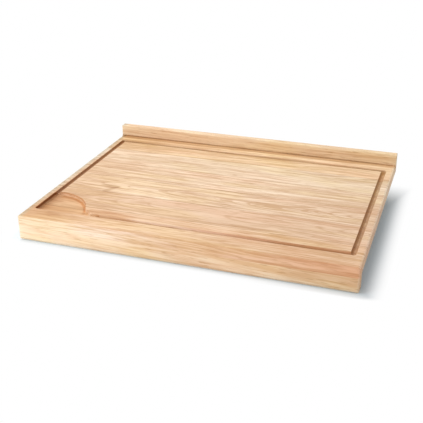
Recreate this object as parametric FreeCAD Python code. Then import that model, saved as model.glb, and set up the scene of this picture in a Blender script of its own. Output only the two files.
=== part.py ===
# Worktop cutting board in solid wood.
# An edge-glued panel of full-length staves carries a juice groove that runs into a corner well.
# A stop lip is doweled and glued under its front edge, to hook over the edge of a worktop,
# and an upstand is doweled and glued on its back edge, to keep food off the wall.
# Millimetres. X runs along the grain to the right, Y to the back, Z up.
# The origin is the middle of the footprint, at the height of the lip's lower edge.
import FreeCAD
import Part
import math
import os

# Panel, cut from a wider glued sheet, so its back stave is what is left of one
BOARD_WIDTH = 600.0
PANEL_DEPTH = 460.0
PANEL_THICKNESS = 19.0
FULL_STAVE_COUNT = 6
BACK_STAVE_WIDTH = 28.0

# Stop lip under the front edge
LIP_DROP = 28.0
LIP_DEPTH = 18.0
LIP_NOSE_RADIUS = 6.0
LIP_END_RADIUS = 6.0

# Upstand on the back edge
UPSTAND_RISE = 22.5
UPSTAND_DEPTH = 16.0
UPSTAND_EDGE_RADIUS = 2.5
UPSTAND_FOOT_RADIUS = 2.0

# Juice groove, cut by a ball-nosed cutter; margins run to the middle of the groove
GROOVE_CUTTER_RADIUS = 5.0
GROOVE_DEPTH = 4.5
GROOVE_SIDE_MARGIN = 19.0
GROOVE_FRONT_MARGIN = 42.5
GROOVE_BACK_MARGIN = 35.0

# Corner well at the front left, a quarter disc that flares into the front groove
WELL_RADIUS = 74.0
WELL_INSET = 10.0
WELL_DEPTH = 8.0
WELL_COVE_RADIUS = 4.0
WELL_FLARE_RADIUS = 40.0
WELL_WALL_RELIEF = 0.5

# Eased edges, and the share of a wall that a rounding may take up
EDGE_RADIUS = 1.5
END_EDGE_RADIUS = 5.0
CORNER_RADIUS = 5.0
UNDERSIDE_EDGE_RADIUS = 3.0
ROUNDING_LIMIT = 0.9

# Dowels of both battens
DOWEL_DIAMETER = 8.0
DOWEL_LENGTH = 28.0
DOWEL_IN_PANEL = 12.0
DOWEL_COUNT = 5
DOWEL_END_MARGIN = 60.0
DOWEL_CHAMFER = 1.0
DOWEL_GLUE_GAP = 0.05
DOWEL_END_GAP = 0.5

# How far cutting tools reach out of the wood
TOOL_OVERRUN = 2.0

# Planes of the board, from the sizes above
LEFT = -BOARD_WIDTH / 2
RIGHT = BOARD_WIDTH / 2
FRONT = -PANEL_DEPTH / 2
BACK = PANEL_DEPTH / 2
LIP_BACK = FRONT + LIP_DEPTH
UPSTAND_FACE = BACK - UPSTAND_DEPTH
PANEL_BOTTOM = LIP_DROP
PANEL_TOP = PANEL_BOTTOM + PANEL_THICKNESS
UPSTAND_TOP = PANEL_TOP + UPSTAND_RISE

# Middle lines of the groove
GROOVE_LEFT = LEFT + GROOVE_SIDE_MARGIN
GROOVE_RIGHT = RIGHT - GROOVE_SIDE_MARGIN
GROOVE_FRONT = FRONT + GROOVE_FRONT_MARGIN
GROOVE_BACK = UPSTAND_FACE - GROOVE_BACK_MARGIN

X_AXIS = FreeCAD.Vector(1, 0, 0)
Y_AXIS = FreeCAD.Vector(0, 1, 0)
Z_AXIS = FreeCAD.Vector(0, 0, 1)


def point(x, y, z=0.0):
    return FreeCAD.Vector(x, y, z)


def on_circle(centre, radius, angle):
    """Point of a level circle at an angle in radians, counted from +X towards +Y."""
    return centre + point(math.cos(angle), math.sin(angle)) * radius


def level_arc(centre, radius, start, end):
    """Edge along a level circle from one angle to another."""
    stops = [on_circle(centre, radius, angle) for angle in (start, (start + end) / 2, end)]
    return Part.Arc(*stops).toShape()


def block(low, high):
    """Sawn and planed timber between two corners."""
    size = high - low
    return Part.makeBox(size.x, size.y, size.z, low)


def roundover(start, end, radius, inward, other_inward):
    """Waste of a round-over cutter run along one straight edge; both directions point into the wood."""
    out = -TOOL_OVERRUN
    corner = radius * (1 - math.sqrt(0.5))

    def at(a, b):
        return start + inward * a + other_inward * b

    arc = Part.Arc(at(radius, 0), at(corner, corner), at(0, radius)).toShape()
    straight = [at(0, radius), at(out, radius), at(out, out), at(radius, out), at(radius, 0)]
    sides = [Part.makeLine(a, b) for a, b in zip(straight, straight[1:])]
    section = Part.Face(Part.Wire([arc] + sides))
    return section.extrude(end - start)


def end_roundovers():
    """Waste along the eased edges at the two ends of the glued-up board."""
    tools = []
    for x, inward in ((LEFT, X_AXIS), (RIGHT, -X_AXIS)):
        lip_front = point(x, FRONT, 0)
        lip_rear = point(x, LIP_BACK, 0)
        under_lip = point(x, LIP_BACK, PANEL_BOTTOM)
        under_back = point(x, BACK, PANEL_BOTTOM)
        top_front = point(x, FRONT, PANEL_TOP)
        top_back = point(x, UPSTAND_FACE, PANEL_TOP)
        upstand_front = point(x, UPSTAND_FACE, UPSTAND_TOP)
        upstand_back = point(x, BACK, UPSTAND_TOP)
        tools += [
            roundover(top_front, top_back, END_EDGE_RADIUS, inward, -Z_AXIS),
            roundover(under_lip, under_back, UNDERSIDE_EDGE_RADIUS, inward, Z_AXIS),
            roundover(lip_front, top_front, CORNER_RADIUS, inward, Y_AXIS),
            roundover(lip_rear, under_lip, EDGE_RADIUS, inward, -Y_AXIS),
            roundover(lip_front, lip_rear, LIP_END_RADIUS, inward, Z_AXIS),
            roundover(under_back, upstand_back, EDGE_RADIUS, inward, -Y_AXIS),
            roundover(top_back, upstand_front, EDGE_RADIUS, inward, Y_AXIS),
            roundover(upstand_front, upstand_back, EDGE_RADIUS, inward, -Z_AXIS),
        ]
    return tools


def long_roundovers():
    """Waste along the eased edges that run the length of the board."""
    nose_radius = min(LIP_NOSE_RADIUS, ROUNDING_LIMIT * (LIP_DEPTH - EDGE_RADIUS), ROUNDING_LIMIT * LIP_DROP)
    edges = [
        (FRONT, PANEL_TOP, EDGE_RADIUS, Y_AXIS, -Z_AXIS),
        (FRONT, 0, nose_radius, Y_AXIS, Z_AXIS),
        (LIP_BACK, 0, EDGE_RADIUS, -Y_AXIS, Z_AXIS),
        (BACK, PANEL_BOTTOM, UNDERSIDE_EDGE_RADIUS, -Y_AXIS, Z_AXIS),
        (UPSTAND_FACE, UPSTAND_TOP, UPSTAND_EDGE_RADIUS, Y_AXIS, -Z_AXIS),
        (BACK, UPSTAND_TOP, UPSTAND_EDGE_RADIUS, -Y_AXIS, -Z_AXIS),
    ]
    return [
        roundover(point(LEFT, y, z), point(RIGHT, y, z), radius, inward, other_inward)
        for y, z, radius, inward, other_inward in edges
    ]


def foot_roundover():
    """Waste along the eased front edge of the upstand's foot, cut before it is glued on."""
    start = point(LEFT, UPSTAND_FACE, PANEL_TOP)
    end = point(RIGHT, UPSTAND_FACE, PANEL_TOP)
    return roundover(start, end, UPSTAND_FOOT_RADIUS, Y_AXIS, Z_AXIS)


def groove_run(start, end):
    """Waste of the cutter between two places of its ball's middle: a round-nosed channel."""
    side = Z_AXIS.cross(end - start).normalize() * GROOVE_CUTTER_RADIUS
    nose = -Z_AXIS * GROOVE_CUTTER_RADIUS
    shank = Z_AXIS * (GROOVE_DEPTH + TOOL_OVERRUN)
    walls = [start + side, start + side + shank, start - side + shank, start - side]
    outline = [Part.Arc(start - side, start + nose, start + side).toShape()]
    outline += [Part.makeLine(a, b) for a, b in zip(walls, walls[1:])]
    return Part.Face(Part.Wire(outline)).extrude(end - start)


def groove_corner(place, quadrant):
    """Quarter of the cutter that clears the outside of a corner of its path."""
    radius = GROOVE_CUTTER_RADIUS
    shank = GROOVE_DEPTH + TOOL_OVERRUN
    middle = point(radius * math.sqrt(0.5), 0, -radius * math.sqrt(0.5))
    walls = [point(radius, 0), point(radius, 0, shank), point(0, 0, shank), point(0, 0, -radius)]
    outline = [Part.Arc(point(0, 0, -radius), middle, point(radius, 0)).toShape()]
    outline += [Part.makeLine(a, b) for a, b in zip(walls, walls[1:])]
    quarter = Part.Face(Part.Wire(outline)).revolve(point(0, 0), Z_AXIS, 90)
    quarter.rotate(point(0, 0), Z_AXIS, 90 * quadrant)
    return quarter.translated(place)


def groove_cutter():
    """Waste of the ball-nosed cutter run once round the board."""
    height = PANEL_TOP + GROOVE_CUTTER_RADIUS - GROOVE_DEPTH
    corners = [
        point(GROOVE_RIGHT, GROOVE_BACK, height),
        point(GROOVE_LEFT, GROOVE_BACK, height),
        point(GROOVE_LEFT, GROOVE_FRONT, height),
        point(GROOVE_RIGHT, GROOVE_FRONT, height),
    ]
    runs = [groove_run(a, b) for a, b in zip(corners, corners[1:] + corners[:1])]
    turns = [groove_corner(place, quadrant) for quadrant, place in enumerate(corners)]
    return runs[0].multiFuse(runs[1:] + turns).removeSplitter()


def well_outline():
    """Closed outline of the well: two straight walls in line with the groove, the quarter disc's
    arc, and the flare that leads it into the front groove."""
    wall = GROOVE_CUTTER_RADIUS + WELL_WALL_RELIEF
    left = GROOVE_LEFT - wall
    front = GROOVE_FRONT - wall
    centre = point(GROOVE_LEFT + WELL_INSET, GROOVE_FRONT)
    outer_corner = point(left + wall, front + wall)

    # The flare touches the inner wall of the groove and the outside of the disc
    flare_rise = wall + WELL_FLARE_RADIUS
    flare_reach = math.sqrt((WELL_RADIUS + WELL_FLARE_RADIUS) ** 2 - flare_rise ** 2)
    flare_centre = centre + point(flare_reach, flare_rise)
    flare_angle = math.atan2(flare_rise, flare_reach)
    mouth = point(flare_centre.x, GROOVE_FRONT)

    # The corner between the left wall and the arc is as round as the cutter
    turn_reach = left + wall - centre.x
    turn_rise = math.sqrt((WELL_RADIUS - wall) ** 2 - turn_reach ** 2)
    turn_centre = centre + point(turn_reach, turn_rise)
    turn_angle = math.atan2(turn_rise, turn_reach)

    left_wall = Part.makeLine(point(left, turn_centre.y), point(left, outer_corner.y))
    front_wall = Part.makeLine(point(outer_corner.x, front), point(mouth.x, front))
    return Part.Wire([
        left_wall,
        level_arc(outer_corner, wall, math.pi, 1.5 * math.pi),
        front_wall,
        level_arc(mouth, wall, -0.5 * math.pi, 0.5 * math.pi),
        level_arc(flare_centre, WELL_FLARE_RADIUS, -0.5 * math.pi, flare_angle - math.pi),
        level_arc(centre, WELL_RADIUS, flare_angle, turn_angle),
        level_arc(turn_centre, wall, turn_angle, math.pi),
    ])


def well_cutter():
    """Waste of the well: its outline carried down to a flat floor with a cove round it."""
    outline = Part.Face(well_outline())
    outline.translate(point(0, 0, PANEL_TOP - WELL_DEPTH))
    waste = outline.extrude(Z_AXIS * (WELL_DEPTH + TOOL_OVERRUN))
    floor_edges = [edge for edge in waste.Edges if edge.BoundBox.ZMax < PANEL_TOP - WELL_DEPTH / 2]
    cutter_room = min(GROOVE_CUTTER_RADIUS + WELL_WALL_RELIEF, WELL_DEPTH)
    return waste.makeFillet(min(WELL_COVE_RADIUS, ROUNDING_LIMIT * cutter_room), floor_edges)


def dowel_places(y):
    """Foot points of one evenly spaced row of dowels."""
    first = LEFT + DOWEL_END_MARGIN
    pitch = (BOARD_WIDTH - 2 * DOWEL_END_MARGIN) / (DOWEL_COUNT - 1)
    return [point(first + pitch * number, y) for number in range(DOWEL_COUNT)]


def dowel_row(y, foot):
    """Turned dowels with chamfered ends, standing on the given height."""
    radius = DOWEL_DIAMETER / 2
    narrow = radius - DOWEL_CHAMFER
    profile = [
        point(0, 0, 0),
        point(narrow, 0, 0),
        point(radius, 0, DOWEL_CHAMFER),
        point(radius, 0, DOWEL_LENGTH - DOWEL_CHAMFER),
        point(narrow, 0, DOWEL_LENGTH),
        point(0, 0, DOWEL_LENGTH),
    ]
    dowel = Part.Face(Part.makePolygon(profile + profile[:1])).revolve(point(0, 0, 0), Z_AXIS, 360)
    return [dowel.translated(place + Z_AXIS * foot) for place in dowel_places(y)]


def dowel_bores(y, foot):
    """Drill waste for one row: the dowel's room with its glue gap and an end gap."""
    radius = DOWEL_DIAMETER / 2 + DOWEL_GLUE_GAP
    depth = DOWEL_LENGTH + 2 * DOWEL_END_GAP
    return [
        Part.makeCylinder(radius, depth, place + Z_AXIS * (foot - DOWEL_END_GAP))
        for place in dowel_places(y)
    ]


def machined(timber, tools):
    """Timber less every tool that reaches it."""
    for tool in tools:
        if tool.BoundBox.intersect(timber.BoundBox):
            timber = timber.cut(tool)
    return timber.removeSplitter()


def stave_lines():
    """Glue lines across the panel from its front edge to its back edge."""
    stave_width = (PANEL_DEPTH - BACK_STAVE_WIDTH) / FULL_STAVE_COUNT
    return [FRONT + stave_width * number for number in range(FULL_STAVE_COUNT + 1)] + [BACK]


def build():
    """Every piece of the board, by name."""
    lip_line = FRONT + LIP_DEPTH / 2
    lip_foot = PANEL_BOTTOM + DOWEL_IN_PANEL - DOWEL_LENGTH
    lip_bores = dowel_bores(lip_line, lip_foot)
    upstand_line = BACK - UPSTAND_DEPTH / 2
    upstand_foot = PANEL_TOP - DOWEL_IN_PANEL
    upstand_bores = dowel_bores(upstand_line, upstand_foot)
    eased_edges = end_roundovers() + long_roundovers()
    panel_tools = [groove_cutter(), well_cutter()] + lip_bores + upstand_bores + eased_edges

    pieces = {}
    lines = stave_lines()
    for number, (near, far) in enumerate(zip(lines, lines[1:]), start=1):
        stave = block(point(LEFT, near, PANEL_BOTTOM), point(RIGHT, far, PANEL_TOP))
        pieces[f"panel_stave_{number}"] = machined(stave, panel_tools)

    lip = block(point(LEFT, FRONT, 0), point(RIGHT, LIP_BACK, PANEL_BOTTOM))
    pieces["front_lip"] = machined(lip, lip_bores + eased_edges)
    pieces["lip_dowels"] = Part.makeCompound(dowel_row(lip_line, lip_foot))

    upstand = block(point(LEFT, UPSTAND_FACE, PANEL_TOP), point(RIGHT, BACK, UPSTAND_TOP))
    pieces["back_upstand"] = machined(upstand, [foot_roundover()] + upstand_bores + eased_edges)
    pieces["upstand_dowels"] = Part.makeCompound(dowel_row(upstand_line, upstand_foot))
    return pieces


os.makedirs("parts", exist_ok=True)
for name, shape in build().items():
    shape.exportStep(f"parts/{name}.step")
    print(f"{name}: {len(shape.Solids)} solid(s), {shape.Volume / 1000:.2f} cm3, valid {shape.isValid()}")
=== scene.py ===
"""Wooden worktop cutting board: an edge-glued panel with a juice groove and a corner well,
a stop lip under its front edge and an upstand on its back edge, on a pale studio floor."""
import math

import bpy
from mathutils import Matrix, Vector


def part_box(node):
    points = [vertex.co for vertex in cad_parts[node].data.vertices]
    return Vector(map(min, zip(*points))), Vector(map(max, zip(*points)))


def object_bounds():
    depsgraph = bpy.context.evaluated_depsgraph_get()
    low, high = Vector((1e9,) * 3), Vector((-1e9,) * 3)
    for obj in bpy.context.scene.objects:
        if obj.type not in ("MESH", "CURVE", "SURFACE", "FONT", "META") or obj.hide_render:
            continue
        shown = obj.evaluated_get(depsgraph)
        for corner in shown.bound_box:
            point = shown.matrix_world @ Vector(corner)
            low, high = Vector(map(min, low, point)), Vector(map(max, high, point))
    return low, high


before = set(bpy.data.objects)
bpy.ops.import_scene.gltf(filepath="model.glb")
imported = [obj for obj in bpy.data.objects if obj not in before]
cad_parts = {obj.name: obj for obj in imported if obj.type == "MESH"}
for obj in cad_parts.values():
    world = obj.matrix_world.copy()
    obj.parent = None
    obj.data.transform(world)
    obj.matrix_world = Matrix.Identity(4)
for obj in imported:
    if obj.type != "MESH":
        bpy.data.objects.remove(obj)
cad_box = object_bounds()


# Panel staves
# Full-length strips of pale hardwood, planed, glued edge to edge and sanded flush, then oiled.
# Each is sawn from its own plank, so each shows its own growth rings and its own tone.
class Fibre:
    """One value of a shader: arithmetic on it adds Math nodes, and add() adds any other node."""

    def __init__(self, socket):
        self.socket = socket

    def add(self, kind, settings, sockets, output=0):
        """A new node's output: its settings are set first, then its sockets get values or links."""
        tree = self.socket.id_data
        node = tree.nodes.new("ShaderNode" + kind)
        for name, value in settings.items():
            setattr(node, name, value)
        for name, value in sockets.items():
            if isinstance(value, Fibre):
                tree.links.new(value.socket, node.inputs[name])
            else:
                node.inputs[name].default_value = value
        return Fibre(node.outputs[output])

    def maths(self, operation, *values):
        return self.add("Math", {"operation": operation}, dict(enumerate((self,) + values)))

    def __add__(self, other):
        return self.maths("ADD", other)

    def __sub__(self, other):
        return self.maths("SUBTRACT", other)

    def __rsub__(self, other):
        return self.maths("MULTIPLY", -1.0).maths("ADD", other)

    def __mul__(self, other):
        return self.maths("MULTIPLY", other)

    __radd__ = __add__
    __rmul__ = __mul__

    def part(self, axis):
        """One part of a vector: X, Y or Z."""
        return self.add("SeparateXYZ", {}, {"Vector": self}, axis)

    def reach(self, other):
        """The straight distance made up of this one and another at right angles to it."""
        return (self * self + other * other).maths("SQRT")

    def rise(self, low, high):
        """0 below low, 1 above high and a smooth step between."""
        sockets = {"Value": self, "From Min": low, "From Max": high}
        return self.add("MapRange", {"interpolation_type": "SMOOTHSTEP"}, sockets)

    def fall(self, low, high):
        """1 below low, 0 above high and a smooth step between."""
        return 1 - self.rise(low, high)

    def near(self, middle, within, beyond):
        """1 within some distance of middle, 0 beyond a larger one and a smooth step between."""
        return (self - middle).maths("ABSOLUTE").fall(within, beyond)

    def noise(self, along, across, shift, detail=2.0, output="Fac"):
        """Cloudy noise of this place, with so many features per metre along the grain and across it."""
        sockets = {"Vector": self, "Location": shift, "Scale": (along, across, across)}
        place = self.add("Mapping", {}, sockets)
        return self.add("TexNoise", {}, {"Vector": place, "Scale": 1.0, "Detail": detail}, output)

    def blend(self, start, end):
        """The colour this share of the way from start to end."""
        return self.add("Mix", {"data_type": "RGBA"}, {0: self, 6: start, 7: end}, 2)

    def stain(self, share, tint):
        """This colour multiplied by a tint as far as share says."""
        settings = {"data_type": "RGBA", "blend_type": "MULTIPLY"}
        return self.add("Mix", settings, {0: share, 6: self, 7: tint}, 2)


panel_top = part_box("panel_stave_1")[1].z
board_end = cad_box[1].x
board_front = cad_box[0].y
groove_depth = 0.0045
groove_from_side = 0.019
groove_from_front = 0.0425
well_inset = 0.010
well_reach = 0.074
well_middle = (groove_from_side + well_inset - board_end, groove_from_front + board_front)

end_grain_tan = (0.88, 0.79, 0.71, 1)
end_grain_pale = (0.91, 0.90, 0.84, 1)
# Painted light on the right rim and a painted highlight on the right arris.
right_rim_painted_light = (1.02, 1.02, 1.03, 1)
right_arris_painted_highlight = (1.10, 1.16, 1.24, 1)
# A painted grey sheen on the left rim, darker towards the back.
left_rim_painted_sheen_front = (0.875, 1.06, 1.23, 1)
left_rim_painted_sheen_back = (0.77, 0.85, 0.92, 1)
# Painted light on the lower nose, as bounced up from the floor.
nose_painted_light = (1.06, 1.14, 1.26, 1)


def tint_edges(colour, place, normal, front_painted_light):
    """The colour at the edges: end grain is darker, and paler towards the front.
    The right rim gets painted light, the right arris a painted highlight and the left rim a painted grey
    sheen.
    A front face goes from the first of front_painted_light at the left to the second, as painted light and
    shade, and its nose is paler with painted light, as bounced up from the floor."""
    x, y, z = (place.part(axis) for axis in "XYZ")
    from_left = x + board_end
    from_right = board_end - x
    from_front = y - board_front
    end_grain = normal.part("X").maths("ABSOLUTE").rise(0.6, 1.0)
    facing_up = normal.part("Z").rise(0.2, 0.9)
    colour = colour.stain(end_grain, from_front.rise(0.31, 0.42).blend(end_grain_tan, end_grain_pale))
    # Painted light on the right rim and a painted highlight on the right arris.
    colour = colour.stain(from_right.fall(0.008, 0.015) * facing_up, right_rim_painted_light)
    right_arris = normal.part("X").rise(0.05, 0.40) * (1 - end_grain)
    colour = colour.stain(right_arris * from_right.fall(0.006, 0.010), right_arris_painted_highlight)
    # A painted grey sheen on the left rim, darker towards the back.
    left_rim_painted_sheen = from_front.rise(0.18, 0.45).blend(left_rim_painted_sheen_front, left_rim_painted_sheen_back)
    colour = colour.stain(from_left.fall(0.007, 0.013) * facing_up, left_rim_painted_sheen)
    # A front face gets painted light and shade from its left end to its right end.
    if front_painted_light:
        facing_front = (normal.part("Y") * -1.0).rise(0.2, 0.9)
        colour = colour.stain(facing_front, from_left.rise(-0.02, 0.62).blend(*front_painted_light))
        # Painted light on the lower nose of a front face, as bounced up from the floor.
        nose = z.fall(0.001, 0.009) * from_front.fall(0.004, 0.008) * (1 - end_grain)
        colour = colour.stain(nose * 0.8, nose_painted_light)
    return colour


# Oil in the cut fibres together with painted shade.
groove_oil_and_shade_brown = (0.50, 0.345, 0.165, 1)
# Orange stain of the well's round wall, carrying painted shade at its rim and its foot.
well_wall_stain_and_shade = (0.80, 0.60, 0.41, 1)
# Painted light for the deep narrow mouth where the well runs into the groove.
mouth_painted_light = (1.20, 1.35, 1.50, 1)
# Painted shade on the cut surfaces near the left end, along the groove and the well's left wall.
left_wall_painted_shade = (0.72, 0.53, 0.34, 1)
well_bed_tan = (0.955, 0.90, 0.77, 1)


def shade_grooves(colour, place, normal):
    """The colour of the groove and the well: their cut fibres drink more oil and get darker, with painted
    shade added.
    The groove is darkest in its bed, by oil and painted shade, and on the walls that face right, by
    painted shade, and paler near the well.
    The well's round wall is stained orange, with a fine line of painted shade along its rim and another
    along its foot;
    its left wall gets painted shade, and painted light lifts the narrow mouth where it runs into the
    groove."""
    x, y, z = (place.part(axis) for axis in "XYZ")
    from_left = x + board_end
    from_front = y - board_front
    sunk = panel_top - z
    inboard = (board_end - x.maths("ABSOLUTE")).rise(0.0055, 0.0075) * from_front.rise(0.002, 0.004)
    cut = sunk.rise(0.0004, 0.0020) * inboard
    bed = sunk.rise(0.0012, 0.0036) * inboard
    groove = sunk.fall(groove_depth + 0.0006, groove_depth + 0.0016)

    out_x = x - well_middle[0]
    out_y = y - well_middle[1]
    from_well = out_x.reach(out_y)
    wall = from_well.rise(well_reach - 0.006, well_reach - 0.003) * out_y.rise(0.004, 0.030)
    wall = wall * from_well.fall(well_reach + 0.0005, well_reach + 0.0015) * out_x.rise(-0.003, 0.003)
    flare = from_well.fall(well_reach + 0.020, well_reach + 0.180) * out_x.rise(0.05, 0.06)

    # The bed darkens by oil and painted shade; walls that face right get painted shade.
    oil_and_shade = bed * (0.40 + from_left.rise(0.32, 0.54) * 0.28)
    oil_and_shade = oil_and_shade + cut * normal.part("X").rise(0.0, 0.6) * 0.8
    oil_and_shade = oil_and_shade + cut * from_front.rise(0.39, 0.40) * (0.45 - from_left.rise(0.10, 0.30) * 0.20)
    colour = colour.stain(groove * oil_and_shade * (1 - flare * 0.75) * (1 - wall), groove_oil_and_shade_brown)
    # Painted shade on the cut surfaces near the left end, along the groove and the well's left wall.
    colour = colour.stain(cut * from_left.fall(0.014, 0.042) * 0.6, left_wall_painted_shade)

    # A fine line of painted shade along the well's rim and another along its foot, over an orange stain.
    rim_line = sunk.near(0.0010, 0.0008, 0.0018)
    foot_line = sunk.rise(0.0052, 0.0068) * 1.2
    wall = wall * inboard * (0.12 + rim_line.maths("MAXIMUM", foot_line) * 0.80)
    colour = colour.stain(wall * (0.6 + out_x.rise(0.0, 0.06) * 0.4), well_wall_stain_and_shade)
    # Painted light in the deep narrow mouth where the well runs into the groove.
    mouth = out_x.rise(0.078, 0.085) * out_x.fall(0.098, 0.107) * out_y.fall(0.010, 0.020)
    facing_front = (normal.part("Y") * -1.0).rise(0.2, 0.9)
    colour = colour.stain(cut * mouth * facing_front, mouth_painted_light)
    return colour.stain(cut * (1 - groove), well_bed_tan)


heart_brown = (0.78, 0.66, 0.50, 1)
pink_blush = (1.0, 0.955, 0.94, 1)
straw_blush = (1.0, 1.0, 0.91, 1)
glue_brown = (0.62, 0.50, 0.40, 1)
pore_brown = (0.66, 0.52, 0.38, 1)


def oiled_wood(name, pale, deep, pith, lean, ring, seed, redden=0.0, heart=0.0, figure=0.4,
               front_painted_light=None, marks=(), joints=()):
    """Wood sawn from a log whose pith runs along the grain at pith = (y, z) and leans in depth.
    Growth rings are circles about the pith, ring wide, so a face cut along them shows flames.
    Streaks, short pores and slow drifts of tone are noise drawn out along the wandering grain.
    It is darker towards the right by redden, at the left end by heart and in its late wood by figure.
    Each of marks is a long soft patch: x, y, length, width, slope, tint.
    Each of joints is the y of a glue line, and front_painted_light, painted light and shade for a front
    face, goes to tint_edges."""
    material = bpy.data.materials.new(name)
    material.use_nodes = True
    tree = material.node_tree
    finish = tree.nodes["Principled BSDF"]
    place = Fibre(tree.nodes.new("ShaderNodeTexCoord").outputs["Object"])
    normal = Fibre(tree.nodes.new("ShaderNodeNewGeometry").outputs["Normal"])
    x, y, z = (place.part(axis) for axis in "XYZ")
    shift = (seed * 1.7, seed * 2.3, seed * 3.1)

    sway = place.noise(2.0, 9.0, shift, output="Color")
    across = y - pith[0] + (sway.part("X") - 0.5) * 0.018
    depth = z - pith[1] + x * lean + (sway.part("Y") - 0.5) * 0.016
    grain = x.add("CombineXYZ", {}, {"X": x, "Y": across, "Z": depth})
    ages = across.reach(depth) * (1 / ring) + seed
    years = ages.add("TexNoise", {"noise_dimensions": "1D"}, {"W": ages, "Scale": 1.0, "Detail": 3.0})
    late_wood = years.near(0.55, 0.010, 0.060)
    streaks = grain.noise(3.0, 150.0, shift, detail=4.0)
    fibres = grain.noise(16.0, 330.0, shift, detail=3.0)
    pores = grain.noise(40.0, 450.0, shift, detail=1.0).rise(0.60, 0.74)
    drift = place.noise(2.4, 14.0, shift, detail=1.0)
    blush = place.noise(6.0, 26.0, shift)

    lines = (years - 0.5) + (streaks - 0.5) * 1.8 + (fibres - 0.5) * 2.5 - late_wood * figure
    calm_at_ends = 1 - normal.part("X").maths("ABSOLUTE").rise(0.1, 0.7) * 0.7
    tone = 0.57 + lines * calm_at_ends + (drift - 0.5) * 0.6 - x * redden
    colour = tone.rise(-0.1, 1.1).blend(deep, pale)
    facing_up = normal.part("Z").rise(0.2, 0.9)
    left_end = (x + board_end).fall(0.03, 0.17) * (0.5 + facing_up * 0.5)
    colour = colour.stain(left_end * heart, heart_brown)
    colour = colour.stain(blush.rise(0.50, 0.68), pink_blush)
    colour = colour.stain(blush.fall(0.34, 0.50), straw_blush)
    for mark_x, mark_y, length, width, slope, tint in marks:
        along = x - mark_x
        aside = y - mark_y - along * slope
        spread = (along * (1 / length)).reach(aside * (1 / width)) + (streaks - 0.5) * 0.8
        colour = colour.stain(spread.fall(0.6, 1.15), tint)
    for joint in joints:
        glue_line = y.near(joint, 0.0003, 0.0011)
        colour = colour.stain(glue_line * drift.rise(0.2, 0.6), glue_brown)
    colour = colour.stain(pores * 0.55, pore_brown)
    colour = tint_edges(colour, place, normal, front_painted_light)
    colour = shade_grooves(colour, place, normal)
    tree.links.new(colour.socket, finish.inputs["Base Color"])

    rough = 0.50 + pores * 0.12 + (streaks - 0.5) * 0.16
    tree.links.new(rough.socket, finish.inputs["Roughness"])
    height = fibres * 0.5 - pores * 0.6
    bump = height.add("Bump", {}, {"Height": height, "Strength": 0.25, "Distance": 0.0004})
    tree.links.new(bump.socket, finish.inputs["Normal"])
    finish.inputs["Specular IOR Level"].default_value = 0.35
    return material


def dress(node, material):
    """Gives a solid its finish in place of the plain one it came with."""
    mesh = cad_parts[node].data
    mesh.materials.clear()
    mesh.materials.append(material)


# Painted shade for the wedge behind the front groove by the well.
wedge_painted_shade = (0.84, 0.72, 0.59, 1)
grey = (0.78, 0.70, 0.60, 1)
cream = (1.07, 1.12, 1.18, 1)
tan = (0.94, 0.91, 0.88, 1)
staves = [
    {"pale": (0.805, 0.566, 0.372, 1), "deep": (0.611, 0.354, 0.177, 1),
     "pith": (-0.20, -0.06), "lean": 0.02, "ring": 0.004, "redden": 0.4, "heart": 0.90, "figure": 0.3,
     # Painted light and shade on the front face: lighter at the left, darker at the right.
     "front_painted_light": ((1.08, 1.29, 1.60, 1), (0.97, 0.82, 0.75, 1)),
     # The first mark is the painted shade of the wedge behind the front groove.
     "marks": [(-0.150, -0.176, 0.054, 0.013, -0.06, wedge_painted_shade), (-0.244, -0.202, 0.014, 0.009, 0.0, tan),
               (-0.115, -0.168, 0.070, 0.010, 0.0, tan)]},
    {"pale": (0.796, 0.566, 0.389, 1), "deep": (0.575, 0.345, 0.186, 1),
     "pith": (-0.12, -0.09), "lean": -0.03, "ring": 0.004, "redden": -0.15, "heart": 0.5, "figure": 0.3,
     "marks": [(0.0, -0.142, 0.150, 0.020, 0.0, tan), (0.0, -0.104, 0.070, 0.017, 0.0, tan)]},
    {"pale": (0.858, 0.646, 0.460, 1), "deep": (0.584, 0.354, 0.195, 1),
     "pith": (-0.050, -0.01), "lean": -0.035, "ring": 0.003, "redden": 0.3, "heart": 0.50, "figure": 0.5,
     "marks": [(-0.200, -0.058, 0.024, 0.006, 0.0, grey), (-0.194, -0.072, 0.013, 0.010, 1.2, grey),
               (-0.110, -0.080, 0.080, 0.005, 0.0, cream)]},
    {"pale": (0.876, 0.673, 0.478, 1), "deep": (0.611, 0.385, 0.220, 1),
     "pith": (0.15, 0.12), "lean": 0.03, "ring": 0.004, "redden": 0.1, "heart": 0.50, "figure": 0.4,
     "marks": [(0.080, 0.006, 0.200, 0.009, 0.0, cream), (-0.222, 0.040, 0.050, 0.018, 0.0, tan)]},
    {"pale": (0.876, 0.690, 0.496, 1), "deep": (0.619, 0.407, 0.239, 1),
     "pith": (0.14, -0.05), "lean": 0.02, "ring": 0.005, "redden": -0.05, "heart": 0.1, "figure": 0.4,
     "marks": [(0.060, 0.064, 0.140, 0.006, 0.0, cream)]},
    {"pale": (0.867, 0.628, 0.398, 1), "deep": (0.602, 0.363, 0.177, 1),
     "pith": (0.12, -0.10), "lean": -0.02, "ring": 0.005, "redden": -0.5, "heart": 0.15,
     "marks": [(-0.250, 0.191, 0.080, 0.009, 0.0, tan), (0.100, 0.194, 0.220, 0.007, 0.0, cream)]},
    {"pale": (0.779, 0.522, 0.292, 1), "deep": (0.531, 0.310, 0.142, 1),
     "pith": (0.25, -0.08), "lean": 0.01, "ring": 0.006, "redden": -0.4, "heart": 0.6},
]
least_inset = 0.001
for number, stave in enumerate(staves, start=1):
    node = f"panel_stave_{number}"
    sides = [corner.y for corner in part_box(node)]
    joints = [side for side in sides
              if cad_box[0].y < side - least_inset and side + least_inset < cad_box[1].y]
    dress(node, oiled_wood(node + "_wood", seed=float(number), joints=joints, **stave))


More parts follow.
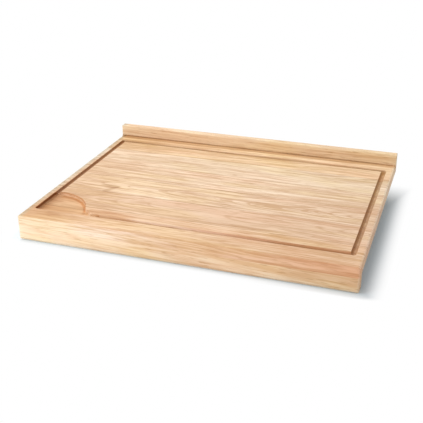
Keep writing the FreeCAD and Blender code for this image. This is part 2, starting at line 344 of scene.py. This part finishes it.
# Stop lip
# One batten of the same wood, planed and glued with dowels under the panel's front edge, flush in front.
# Its lower front arris is rounded so that it is kind to hands and knees.
plain = (1.0, 1.0, 1.0, 1)
# Painted shade on the lip's front face, warmer and darker towards the right.
warm_painted_shade = (1.0, 0.96, 0.91, 1)
fair = (1.06, 1.08, 1.09, 1)
dress("front_lip", oiled_wood(
    "lip_wood", pale=(0.832, 0.646, 0.460, 1), deep=(0.673, 0.434, 0.248, 1),
    pith=(-0.24, -0.10), lean=0.03, ring=0.006, seed=11.0, redden=0.8,
    front_painted_light=(plain, warm_painted_shade), marks=[(0.120, -0.230, 0.070, 0.030, 0.0, fair)]))


# Upstand
# One batten of the same wood, glued with dowels on the panel's back edge.
# Its arrises are eased, and so is its foot.
dress("back_upstand", oiled_wood(
    "upstand_wood", pale=(0.890, 0.682, 0.462, 1), deep=(0.706, 0.467, 0.274, 1),
    pith=(0.22, -0.05), lean=0.02, ring=0.006, seed=17.0, heart=0.1))


# Dowels
# Turned beech pegs with chamfered ends.
# They are glued into blind bores, part in the panel and part in the lip or the upstand.
peg_wood = oiled_wood(
    "dowel_wood", pale=(0.708, 0.549, 0.381, 1), deep=(0.584, 0.407, 0.257, 1),
    pith=(0.0, -0.02), lean=0.0, ring=0.002, seed=23.0)
dress("lip_dowels", peg_wood)
dress("upstand_dowels", peg_wood)


# Studio floor
# A wide pale sheet that the lip stands on.
# It keeps the board's shadow, soft, deepened near the board by a cool grey painted shade, and lifted by
# painted light before the lip, towards the back and within a few centimetres, where it fades into plain
# white.
floor_reach = 6.0
floor_level = cad_box[0].z - 0.0003
corners = [(-floor_reach, -floor_reach, floor_level), (floor_reach, -floor_reach, floor_level),
           (floor_reach, floor_reach, floor_level), (-floor_reach, floor_reach, floor_level)]
floor_mesh = bpy.data.meshes.new("studio_floor")
floor_mesh.from_pydata(corners, [], [(0, 1, 2, 3)])
floor = bpy.data.objects.new("studio_floor", floor_mesh)
bpy.context.scene.collection.objects.link(floor)


def seen_rays(tree):
    """1 for rays that show a surface to the eye, straight or by a gloss or a glass, and 0 for others."""
    rays = tree.nodes.new("ShaderNodeLightPath").outputs
    return Fibre(rays["Is Camera Ray"]) + Fibre(rays["Is Glossy Ray"]) + Fibre(rays["Is Transmission Ray"])


white = (1, 1, 1, 1)
# Painted shade: a cool grey floor colour near the board.
near_board_painted_shade = (0.69, 0.78, 0.84, 1)
off_white = (0.97, 0.97, 0.97, 1)
floor_paint = bpy.data.materials.new("floor_paint")
floor_paint.use_nodes = True
paint_tree = floor_paint.node_tree
paint = paint_tree.nodes["Principled BSDF"]
paint.inputs["Roughness"].default_value = 1.0
paint.inputs["Specular IOR Level"].default_value = 0.0
paint_place = Fibre(paint_tree.nodes.new("ShaderNodeTexCoord").outputs["Object"])
floor_x = paint_place.part("X")
floor_y = paint_place.part("Y")
beside = (floor_x.maths("ABSOLUTE") - board_end).maths("MAXIMUM", 0.0)
before = board_front - floor_y
behind = (floor_y - cad_box[1].y).maths("MAXIMUM", 0.0)
away = beside.reach(before.maths("MAXIMUM", 0.0) * 2.5).reach(behind)
# Painted shade: the floor is cool grey near the board and off-white further out.
floor_tint_with_painted_shade = away.rise(0.0, 0.06).blend(near_board_painted_shade, off_white)
paint_tree.links.new(floor_tint_with_painted_shade.socket, paint.inputs["Base Color"])
# Painted light lifts the shadow before the lip, towards the back and within a few centimetres; beyond, the
# floor is plain white.
before_lip_painted_light = before.rise(-0.011, 0.012) * (1 - floor_x.rise(0.07, 0.35) * 0.5)
backdrop_and_painted_light = away.rise(0.0, 0.042).maths("MAXIMUM", floor_y.rise(0.12, 0.24))
backdrop_and_painted_light = backdrop_and_painted_light.maths("MAXIMUM", before_lip_painted_light) * seen_rays(paint_tree)
bright = paint_place.add("Emission", {}, {"Color": white, "Strength": 1.0})
mixed = paint_place.add("MixShader", {}, {0: backdrop_and_painted_light, 1: Fibre(paint.outputs[0]), 2: bright})
paint_tree.links.new(mixed.socket, paint_tree.nodes["Material Output"].inputs["Surface"])
floor_mesh.materials.append(floor_paint)


# Studio light
# A large soft lamp up behind on the left and a low one in front on the left.
# The room around is pale and evenly lit, and shows plain white behind the board.
def soft_lamp(name, place, aim, width, power):
    """A square area lamp at place that faces aim."""
    lamp = bpy.data.lights.new(name, "AREA")
    lamp.size = width
    lamp.energy = power
    holder = bpy.data.objects.new(name, lamp)
    holder.location = place
    holder.rotation_euler = (Vector(aim) - Vector(place)).to_track_quat("-Z", "Y").to_euler()
    bpy.context.scene.collection.objects.link(holder)


soft_lamp("key_lamp", place=(-0.90, 0.72, 1.98), aim=(0.0, 0.0, 0.0), width=1.2, power=27.1)
soft_lamp("front_lamp", place=(-0.75, -0.95, 0.42), aim=(0.0, -0.2, 0.03), width=0.5, power=6.2)

room_light = 0.62
world = bpy.data.worlds.new("pale_room")
world.use_nodes = True
room = world.node_tree
glow = room.nodes["Background"]
glow.inputs["Color"].default_value = white
glow.inputs["Strength"].default_value = room_light
room_seen = seen_rays(room)
backdrop = room_seen.add("Background", {}, {"Color": white, "Strength": 1.0})
shown = room_seen.add("MixShader", {}, {0: room_seen, 1: Fibre(glow.outputs[0]), 2: backdrop})
room.links.new(shown.socket, room.nodes["World Output"].inputs["Surface"])
bpy.context.scene.world = world
bpy.context.scene.view_settings.view_transform = "Standard"


# Camera
# It stands to the front right of the board, above it, with a long lens.
# Its place is given from the middle of the panel's front edge, and its angles in radians.
image_side = 423
focal_pixels = 784.76
turn, dip, roll = -0.3267, 0.4354, 0.0029
front_edge = Vector((0.0, board_front, panel_top))
eye = front_edge + Vector((0.4202, -1.0650, 0.5831))
ahead = Vector((math.sin(turn) * math.cos(dip), math.cos(turn) * math.cos(dip), -math.sin(dip)))
level = Vector((math.cos(turn), -math.sin(turn), 0.0))
down = ahead.cross(level)
right = level * math.cos(roll) + down * math.sin(roll)
below = down * math.cos(roll) - level * math.sin(roll)
lens = bpy.data.cameras.new("camera")
lens.sensor_width = 36.0
lens.lens = focal_pixels / image_side * lens.sensor_width
camera = bpy.data.objects.new("camera", lens)
axes = Matrix((right, -below, -ahead)).transposed()
camera.matrix_world = Matrix.Translation(eye) @ axes.to_4x4()
bpy.context.scene.collection.objects.link(camera)
bpy.context.scene.camera = camera
